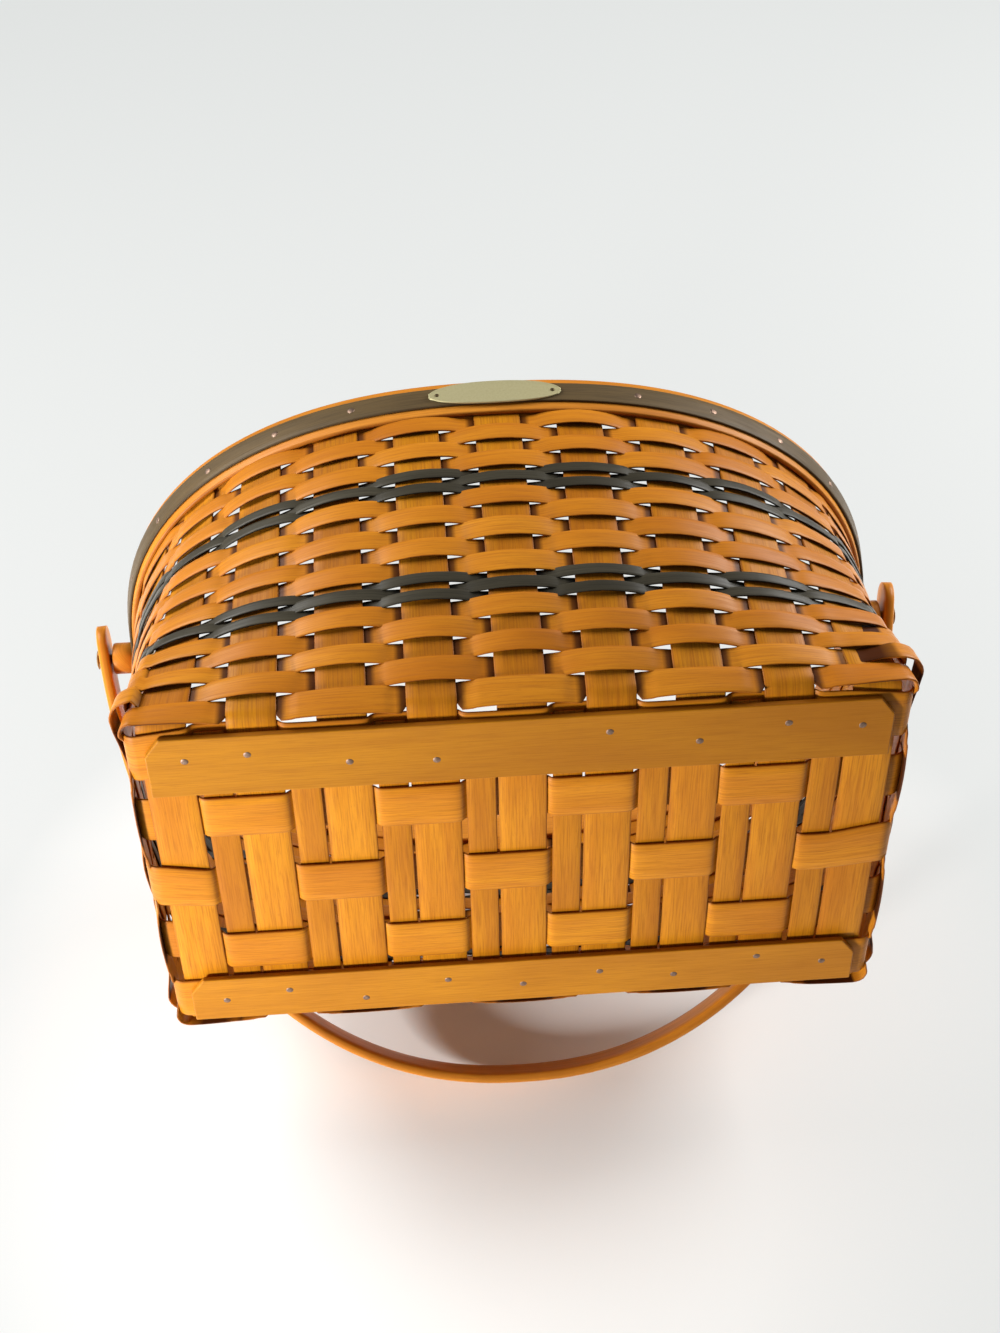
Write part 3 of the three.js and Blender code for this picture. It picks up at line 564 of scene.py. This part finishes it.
# Base strips: two flat boards, each with two corners clipped and its edges sanded, tacked along the
# long edges of the base. The basket stands on them, so their faces are worn smooth. The front one is a
# little wider and browner than the back one.
STRIP_CLIP_ALONG = 7 * MM
STRIP_CLIP_ACROSS = 10 * MM
STRIP_SANDED = 0.7 * MM
STRIP_ASKEW = 2.4 * MM
SHARP_TURN = 0.5
front_tones = ("#B9790F", "#A2630A", "#8E5307", "#774007")
front_maple = stained_maple("worn_brown_maple_board", *front_tones, roughness=0.45, streaks=0.45)
back_tones = ("#C48014", "#AC690C", "#965808", "#7E4408")
back_maple = stained_maple("worn_honey_maple_board", *back_tones, roughness=0.45, streaks=0.45)
for node, maple in (("base_strip_front", front_maple), ("base_strip_back", back_maple)):
    low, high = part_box(node)
    inner = high if node == "base_strip_front" else low
    inner.y += STRIP_ASKEW
    cx, cy = STRIP_CLIP_ALONG, STRIP_CLIP_ACROSS
    outline = [(low.x + cx, low.y), (high.x - cx, low.y), (high.x, low.y + cy), (high.x, high.y)]
    outline += [(low.x, high.y), (low.x, low.y + cy)]
    bm = bmesh.new()
    face = bm.faces.new([bm.verts.new((x, y, low.z)) for x, y in outline])
    raised = bmesh.ops.extrude_face_region(bm, geom=[face])
    top = [v for v in raised["geom"] if isinstance(v, bmesh.types.BMVert)]
    bmesh.ops.translate(bm, verts=top, vec=(0, 0, high.z - low.z))
    bmesh.ops.recalc_face_normals(bm, faces=bm.faces)
    sharp = [e for e in bm.edges if e.calc_face_angle(0) > SHARP_TURN]
    sanding = {"offset": STRIP_SANDED, "segments": 3, "profile": 0.5, "affect": "EDGES", "material": -1}
    bmesh.ops.bevel(bm, geom=sharp, **sanding)
    grain = bm.loops.layers.uv.new("grain")
    edge = bm.verts.layers.float.new("edge")
    start = random.Random(node).uniform(0, GRAIN_RUN)
    for v in bm.verts:
        to_edge = min(high.y - v.co.y, v.co.y - low.y, high.x - v.co.x, v.co.x - low.x)
        v[edge] = 1 if to_edge < 0.2 * STRIP_SANDED else 0.9 if to_edge < STRIP_SANDED else 0
    for f in bm.faces:
        for loop in f.loops:
            loop[grain].uv = (start + loop.vert.co.x, loop.vert.co.y + loop.vert.co.z)
    add_piece(f"tacked_{node}", bm, maple, "strip", "basket", node)

# Tacks: small steel nails with low domed heads, driven by eye along the two base strips and at even
# steps round the trim.
TACK_HEAD = 3.7 * MM
TACK_DOME = 0.35 * MM
TACK_SUNK = 0.8 * MM
TRIM_TACK_FIRST = 70 * MM
TRIM_TACK_STEP = 39 * MM
SPACER_CLEAR = 15 * MM
TACK_SIDES = 12
FRONT_TACKS_MM = (
    (-151, -85), (-123, -87), (-78, -79), (-39, -77),
    (39, -88), (80, -79), (120, -87), (154, -83),
)
BACK_TACKS_MM = (
    (-151, 84), (-119, 79), (-81, 89), (-39, 79), (-1, 86),
    (38, 80), (76, 86), (118, 76), (152, 83),
)


def turned(profile, sides):
    bm = bmesh.new()
    verts = [bm.verts.new((r, 0, h)) for r, h in profile]
    edges = [bm.edges.new(pair) for pair in zip(verts, verts[1:])]
    once_round = {"axis": (0, 0, 1), "angle": 2 * math.pi, "steps": sides, "use_merge": True}
    bmesh.ops.spin(bm, geom=verts + edges, **once_round)
    bmesh.ops.remove_doubles(bm, verts=bm.verts, dist=WELD)
    bmesh.ops.recalc_face_normals(bm, faces=bm.faces)
    for face in bm.faces:
        face.smooth = True
    return bm


def aimed(place, facing):
    turn = Vector((0, 0, 1)).rotation_difference(Vector(facing))
    return Matrix.Translation(place) @ turn.to_matrix().to_4x4()


TARNISH_SPOT = 1.2 * MM


# Bright steel or brass gone a little brown, with soft spots of tarnish about a millimetre wide.
def aged_metal(name, bright, tarnish, roughness, metallic=1):
    material, tree, shader = new_material(name)
    place = add_node(tree, "ShaderNodeTexCoord", {}).outputs["Object"]
    spots = {"Vector": place, "Scale": 1 / TARNISH_SPOT, "Detail": 3}
    stain = add_node(tree, "ShaderNodeTexNoise", spots).outputs["Fac"]
    laid_on = {0: stain, 6: linear(bright), 7: linear(tarnish)}
    tone = add_node(tree, "ShaderNodeMix", laid_on, data_type="RGBA").outputs[2]
    tree.links.new(tone, shader.inputs["Base Color"])
    dull = {"Value": stain, "To Min": roughness, "To Max": roughness + 0.25}
    finish = add_node(tree, "ShaderNodeMapRange", dull).outputs["Result"]
    tree.links.new(finish, shader.inputs["Roughness"])
    shader.inputs["Metallic"].default_value = metallic
    return material


tack_steel = aged_metal("aged_steel_tack", "#A89080", "#664A38", 0.4)
tack_profile = [(0, TACK_DOME), (0.3 * TACK_HEAD, 0.75 * TACK_DOME)]
tack_profile += [(0.45 * TACK_HEAD, 0.3 * TACK_DOME), (0.5 * TACK_HEAD, -0.1 * TACK_DOME)]
tack_profile += [(0.45 * TACK_HEAD, -TACK_SUNK), (0, -TACK_SUNK)]
tack = turned(tack_profile, TACK_SIDES)
tack_mesh = bpy.data.meshes.new("tack")
tack.to_mesh(tack_mesh)
tack.free()


def driven(places):
    bm = bmesh.new()
    for place, facing in places:
        count = len(bm.verts)
        bm.from_mesh(tack_mesh)
        bm.verts.ensure_lookup_table()
        bmesh.ops.transform(bm, matrix=aimed(place, facing), verts=bm.verts[count:])
    return bm


for name, tacks in (("base_front_tacks", FRONT_TACKS_MM), ("base_back_tacks", BACK_TACKS_MM)):
    places = [(Vector((x * MM, y * MM, 0)), (0, 0, -1)) for x, y in tacks]
    add_piece(name, driven(places), tack_steel, "rivet", "basket")
TRIM_Z = (trim_low.z + trim_high.z) / 2
spacer_arc = oval_length[-1] / 4
places = []
arc = TRIM_TACK_FIRST
while arc < oval_length[-1] / 2:
    if abs(arc - spacer_arc) > SPACER_CLEAR:
        for side in (-1, 1):
            point, normal = rim_at(side * arc, TRIM_Z)
            places.append((point + normal * TRIM_FAR, normal - Vector((0, 0, RIM_LEAN))))
    arc += TRIM_TACK_STEP
add_piece("rim_tacks", driven(places), tack_steel, "rivet", "basket")

# Name plate: a thin pale brass oval, pointed at both ends, bent to the trim and left bare inside a
# narrow raised border. Two small pins hold it.
PLATE_FULLNESS = 2.4
PLATE_TIP = 2.8 * MM
PLATE_THICK = 0.8 * MM
PLATE_BORDER = 0.25 * MM
PLATE_COLUMNS = 40
PLATE_ROWS = 16
TIP_CROWDING = 1.5
BORDER_ALONG = 0.97
BORDER_ACROSS = 0.8
plate_low, plate_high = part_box("name_plate")
plate_length = plate_high.x - plate_low.x
plate_height = plate_high.z - plate_low.z


def on_trim(arc, z, out):
    point, normal = rim_at(arc, z)
    return point + normal * out


plate_brass = aged_metal("pale_brass_plate", "#C6BE92", "#B4AA7F", 0.4, 0.5)
bm = bmesh.new()
bmesh.ops.create_grid(bm, x_segments=PLATE_COLUMNS, y_segments=PLATE_ROWS, size=1)
for v in bm.verts:
    u, w = v.co.x, v.co.y
    u = math.copysign(1 - (1 - abs(u)) ** TIP_CROWDING, u)
    half = max(PLATE_TIP, plate_height * math.sqrt(1 - abs(u) ** PLATE_FULLNESS)) / 2
    border = PLATE_BORDER if abs(w) > BORDER_ACROSS or abs(u) > BORDER_ALONG else 0
    v.co = on_trim(u * plate_length / 2, TRIM_Z + w * half, TRIM_FAR + PLATE_THICK + border)
bmesh.ops.recalc_face_normals(bm, faces=bm.faces)
if sum(f.normal.y for f in bm.faces) > 0:
    bmesh.ops.reverse_faces(bm, faces=bm.faces)
bmesh.ops.solidify(bm, geom=bm.faces[:], thickness=PLATE_THICK)
bmesh.ops.recalc_face_normals(bm, faces=bm.faces)
for face in bm.faces:
    face.smooth = True
add_piece("bare_name_plate", bm, plate_brass, "plate", "basket", "name_plate")
PIN_HEAD = 2.2 * MM
PIN_DOME = 0.5 * MM
PIN_SHANK = 1 * MM
PIN_PROUD = 0.1 * MM
PIN_SIDES = 16
pin_profile = [(0, PIN_DOME), (0.3 * PIN_HEAD, 0.8 * PIN_DOME), (0.5 * PIN_HEAD, 0)]
pin_profile += [(0.5 * PIN_HEAD, -PIN_SHANK), (0, -PIN_SHANK)]
pin_brass = aged_metal("dark_brass_pin", "#6B5B3E", "#3A3024", 0.4)
for side in ("left", "right"):
    low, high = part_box(f"plate_pin_{side}")
    bm = turned(pin_profile, PIN_SIDES)
    place = on_trim((low.x + high.x) / 2, TRIM_Z, TRIM_FAR + PLATE_THICK + PIN_PROUD)
    bmesh.ops.transform(bm, matrix=aimed(place, (0, -1, -RIM_LEAN)), verts=bm.verts)
    add_piece(f"set_plate_pin_{side}", bm, pin_brass, "rivet", "basket", f"plate_pin_{side}")

# Handle: one flat maple strip, steamed and bent to a half oval, with sanded edges and round ends. It
# swings on two rivets and hangs on the far side, a little off the wall.
HANDLE_WIDTH = 22 * MM
HANDLE_THICK = 5 * MM
HANDLE_EDGE = 1.6 * MM
HANDLE_DROOP = math.radians(39)
HANDLE_END = 18 * MM
HANDLE_REACH = 244.4 * MM
HANDLE_WAIST = 60 * MM
HANDLE_ROUNDNESS = 2.2
HANDLE_PLAY = 1.3 * MM
LEG_STEPS = 60
END_STEPS = 10
END_NARROWEST = 0.16
PIVOT_Z = frame["joints"][0]["pos_m"][2]
oval_height = HANDLE_REACH - HANDLE_THICK / 2 + HANDLE_WAIST
handle_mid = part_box("handle_spacer_right")[1].x + GAP + HANDLE_PLAY + HANDLE_THICK / 2
down_handle = Vector((0, math.cos(HANDLE_DROOP), -math.sin(HANDLE_DROOP)))
over_handle = Vector((0, math.sin(HANDLE_DROOP), math.cos(HANDLE_DROOP)))
pivot = Vector((0, 0, PIVOT_Z))


def narrowing(h):
    part = ((h + HANDLE_WAIST) / oval_height) ** HANDLE_ROUNDNESS
    return max(0, 1 - part) ** (1 / HANDLE_ROUNDNESS)


round_end = HANDLE_WIDTH / 2 - HANDLE_END
leg = []
for n in range(END_STEPS):
    turn = math.pi / 2 * (1 - n / END_STEPS)
    leg.append((round_end - HANDLE_WIDTH / 2 * math.sin(turn), max(END_NARROWEST, math.cos(turn))))
shoulder = math.asin(((round_end + HANDLE_WAIST) / oval_height) ** (HANDLE_ROUNDNESS / 2))
for n in range(LEG_STEPS + 1):
    turn = shoulder + (math.pi / 2 - shoulder) * n / LEG_STEPS
    leg.append((oval_height * math.sin(turn) ** (2 / HANDLE_ROUNDNESS) - HANDLE_WAIST, 1))
half_path = [(handle_mid * narrowing(h) / narrowing(0), h, w) for h, w in leg]
path = [(-x, h, w) for x, h, w in half_path] + half_path[-2::-1]
centres = [pivot + Vector((x, 0, 0)) + down_handle * h for x, h, _ in path]
handle_widths = [w for _, _, w in path]
handle_tones = ("#E2932D", "#C47820", "#A26018", "#935115")
handle_maple = stained_maple("honey_stained_maple_handle", *handle_tones, roughness=0.4, streaks=0.45)
handle_section = strip_section(HANDLE_WIDTH, HANDLE_THICK, HANDLE_EDGE)
bm = bent_strip("handle", centres, [over_handle] * len(centres), handle_section, widths=handle_widths)
add_piece("bent_handle", bm, handle_maple, "handle", "handle", "handle")

# Spacers and rivets: a turned maple disc keeps each end of the handle off the rim, and a brass rivet
# with a domed head passes through handle, disc and rim.
SPACER_ROUND = 0.9 * MM
RIVET_DOME = 1.2 * MM
RIVET_FLAT = 1.4 * MM
SHANK_SHARE = 0.45
PIVOT_SIDES = 32
rivet_brass = aged_metal("aged_brass_rivet", "#B99A63", "#7A5E35", 0.35)


def on_pivot(low, high):
    inner = min(abs(low.x), abs(high.x))
    return inner, max(abs(low.x), abs(high.x)) - inner, (high.z - low.z) / 2


for side, name in ((-1, "left"), (1, "right")):
    node = f"handle_spacer_{name}"
    inner, thick, radius = on_pivot(*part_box(node))
    eased = 0.3 * SPACER_ROUND
    profile = [(0, thick), (radius - SPACER_ROUND, thick), (radius - eased, thick - eased)]
    profile += [(radius, thick - SPACER_ROUND), (radius, 0), (0, 0)]
    bm = turned(profile, PIVOT_SIDES)
    grain = bm.loops.layers.uv.new("grain")
    for face in bm.faces:
        for loop in face.loops:
            loop[grain].uv = (loop.vert.co.x + side, loop.vert.co.y + loop.vert.co.z)
    place = Vector((side * inner, 0, PIVOT_Z))
    bmesh.ops.transform(bm, matrix=aimed(place, (side, 0, 0)), verts=bm.verts)
    add_piece(f"turned_{node}", bm, rim_maple, "rim", "basket", node)
    node = f"handle_rivet_{name}"
    inner, length, head = on_pivot(*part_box(node))
    shank = SHANK_SHARE * head
    brim = length - RIVET_DOME
    dome = ((0, 0), (0.4, 0.12), (0.75, 0.42), (0.95, 0.8))
    profile = [(r * head, length - drop * RIVET_DOME) for r, drop in dome]
    profile += [(head, brim), (shank, brim), (shank, RIVET_FLAT), (head, RIVET_FLAT)]
    profile += [(head, 0.3 * RIVET_FLAT), (0.9 * head, 0), (0, 0)]
    bm = turned(profile, PIVOT_SIDES)
    place = Vector((side * inner, 0, PIVOT_Z))
    bmesh.ops.transform(bm, matrix=aimed(place, (side, 0, 0)), verts=bm.verts)
    add_piece(f"domed_{node}", bm, rivet_brass, "rivet", "basket", node)

# Table: the basket lies on its far side, on its rim and the crown of its handle, on a flat matt white
# board. The board is clear from behind, so that the far side can be looked at.
TABLE_SIZE = 4
TABLE_CLEAR = 0.5 * MM
BOARD_COLOUR = "#F4F2EF"
BOARD_WHITE = "#E1E4E3"
WHITE_FROM = 60 * MM
WHITE_TO = 330 * MM
WHITE_NEAR = 0.03
WHITE_FAR = 0.85
rim_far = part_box("rim_trim")[1]
crown_far = pivot + down_handle * HANDLE_REACH + over_handle * (HANDLE_WIDTH / 2)
table_along = Vector((0, rim_far.y - crown_far.y, rim_far.z - crown_far.z)).normalized()
table_up = Vector((0, -table_along.z, table_along.y))
bm = bmesh.new()
bmesh.ops.create_grid(bm, x_segments=1, y_segments=1, size=TABLE_SIZE)
mesh = bpy.data.meshes.new("table")
bm.to_mesh(mesh)
bm.free()
table = bpy.data.objects.new("table", mesh)
table.matrix_world = aimed(Vector((0, crown_far.y + TABLE_CLEAR, crown_far.z)), table_up)
bpy.context.scene.collection.objects.link(table)
# Matt white board: it takes the basket's shadow near it, and away from it looks evenly white.
table_board, tree, shader = new_material("matt_white_board")
shader.inputs["Base Color"].default_value = linear(BOARD_COLOUR)
shader.inputs["Roughness"].default_value = 0.6
place = add_node(tree, "ShaderNodeTexCoord", {}).outputs["Object"]
away = add_node(tree, "ShaderNodeVectorMath", {0: place}, operation="LENGTH").outputs["Value"]
whiter = {"Value": away, "From Min": WHITE_FROM, "From Max": WHITE_TO}
whiter |= {"To Min": WHITE_NEAR, "To Max": WHITE_FAR}
share = add_node(tree, "ShaderNodeMapRange", whiter).outputs["Result"]
seen = add_node(tree, "ShaderNodeLightPath", {}).outputs["Is Camera Ray"]
share = add_node(tree, "ShaderNodeMath", {0: share, 1: seen}, operation="MULTIPLY").outputs[0]
white = add_node(tree, "ShaderNodeEmission", {"Color": linear(BOARD_WHITE), "Strength": 1}).outputs[0]
board = add_node(tree, "ShaderNodeMixShader", {0: share, 1: shader.outputs["BSDF"], 2: white}).outputs[0]
behind = add_node(tree, "ShaderNodeNewGeometry", {}).outputs["Backfacing"]
clear = add_node(tree, "ShaderNodeBsdfTransparent", {}).outputs["BSDF"]
shown = add_node(tree, "ShaderNodeMixShader", {0: behind, 1: board, 2: clear}).outputs[0]
tree.links.new(shown, tree.nodes["Material Output"].inputs["Surface"])
mesh.materials.append(table_board)

# Light: a small low lamp in front on the left, which throws the shadow inside the handle, a window on
# either side and dim room light. Each lamp has its place from the basket's middle in metres, its size
# in metres and its power in watts.
ROOM = "#E6E9E8"
ROOM_LEVEL = 0.15
world = bpy.data.worlds.new("room")
world.use_nodes = True
bpy.context.scene.world = world
tree = world.node_tree
background = tree.nodes["Background"]
background.inputs["Color"].default_value = linear(ROOM)
seen = add_node(tree, "ShaderNodeLightPath", {})
level = {"Value": seen.outputs["Is Camera Ray"], "To Min": ROOM_LEVEL, "To Max": 1}
tree.links.new(add_node(tree, "ShaderNodeMapRange", level).outputs["Result"], background.inputs["Strength"])
middle = Vector((0, 0, PIVOT_Z / 2))
lamps = (
    ("low_front_lamp", Vector((-0.75, 0, 0)) + table_up * 0.14 - table_along * 0.65, 0.16, 13),
    ("left_window_lamp", Vector((-0.7, 0, 0)) + table_up * 0.6 + table_along * 0.35, 0.5, 10),
    ("right_window_lamp", Vector((0.85, 0, 0)) + table_up * 0.5 + table_along * 0.5, 0.6, 13),
)
for name, place, size, power in lamps:
    lamp = bpy.data.lights.new(name, "AREA")
    lamp.size = size
    lamp.energy = power
    holder = bpy.data.objects.new(name, lamp)
    holder.location = middle + place
    holder.rotation_euler = place.to_track_quat("Z", "Y").to_euler()
    bpy.context.scene.collection.objects.link(holder)

# Camera: a hand-held view down at the base and the near side, fitted to points of the base, the
# uprights and the rim.
CAMERA_PLACE = Vector((-0.0438, -0.6614, -0.5949))
CAMERA_RIGHT = Vector((0.99745, 0.01441, -0.06991))
CAMERA_UP = Vector((0.05723, -0.74679, 0.66259))
FOCAL_PIXELS = 1850.7
PHOTO_WIDTH = 1000
camera = bpy.data.cameras.new("camera")
camera.sensor_fit = "HORIZONTAL"
camera.sensor_width = 36
camera.lens = camera.sensor_width * FOCAL_PIXELS / PHOTO_WIDTH
camera.clip_start = 0.01
viewer = bpy.data.objects.new("camera", camera)
back = CAMERA_RIGHT.cross(CAMERA_UP)
turn = Matrix((CAMERA_RIGHT, CAMERA_UP, back)).transposed().to_4x4()
viewer.matrix_world = Matrix.Translation(CAMERA_PLACE) @ turn
bpy.context.scene.collection.objects.link(viewer)
bpy.context.scene.camera = viewer
bpy.context.scene.view_settings.view_transform = "Standard"
